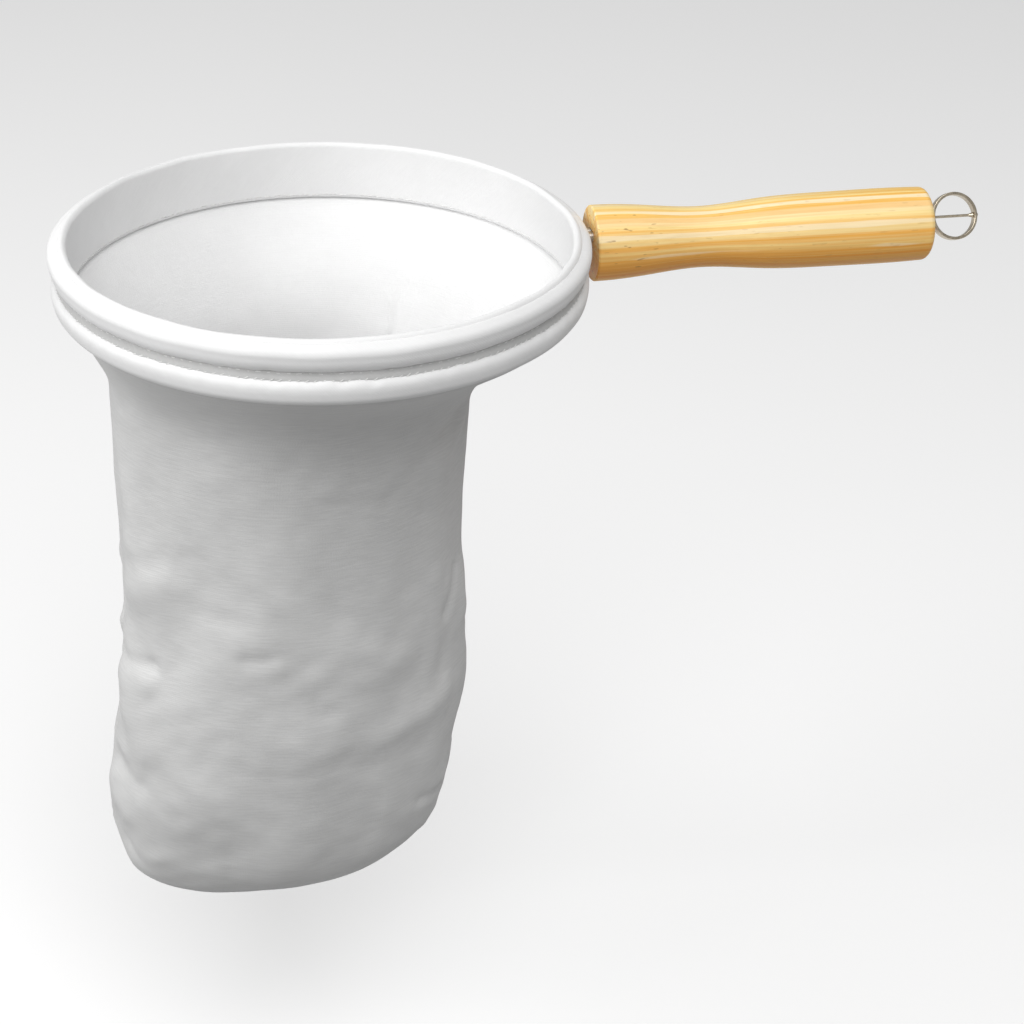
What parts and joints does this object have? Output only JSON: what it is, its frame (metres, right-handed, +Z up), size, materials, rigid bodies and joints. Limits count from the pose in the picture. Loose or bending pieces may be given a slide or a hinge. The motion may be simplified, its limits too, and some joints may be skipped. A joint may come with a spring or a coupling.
{
  "type": "cloth bag strainer",
  "caption": "Cloth filter bag sewn to a round wire-hoop rim with a turned wooden handle and a swivelling hanging ring, for straining liquids into a vessel.",
  "frame": {"origin": "centre of the round rim, on the flat underside of the rolled hem, where the rim rests on a vessel's mouth", "axes": "+Z up through the open mouth, +X along the handle away from the rim, the bag hangs towards -Z"},
  "size_m": [0.269, 0.15, 0.2261],
  "materials": {
    "bag_cloth": "white cotton flannel, soft woven",
    "rim_cloth": "white twill binding",
    "thread": "white sewing thread",
    "hoop_steel": "drawn steel wire",
    "handle_wood": "turned light pine, clear lacquer",
    "ring_steel": "polished strip steel with a warm tint"
  },
  "bodies": {
    "strainer": {"hoop_wire": "hoop_steel", "wire_casing": "rim_cloth", "inner_band": "rim_cloth", "hem_strip": "rim_cloth", "hem_roll": "rim_cloth", "casing_stitch": "thread", "hem_stitch": "thread", "band_stitch": "thread", "bag_front_panel": "bag_cloth", "bag_back_panel": "bag_cloth", "side_seam_thread": "thread", "handle": "handle_wood", "ring_pin": "ring_steel"},
    "ring": {"hanging_ring": "ring_steel"}
  },
  "joints": [
    {"name": "ring_swivel", "type": "hinge", "parent": "strainer", "child": "ring", "pos_m": [0.1866, 0, 0.0108], "axis": [1, 0, 0], "continuous": true}
  ]
}
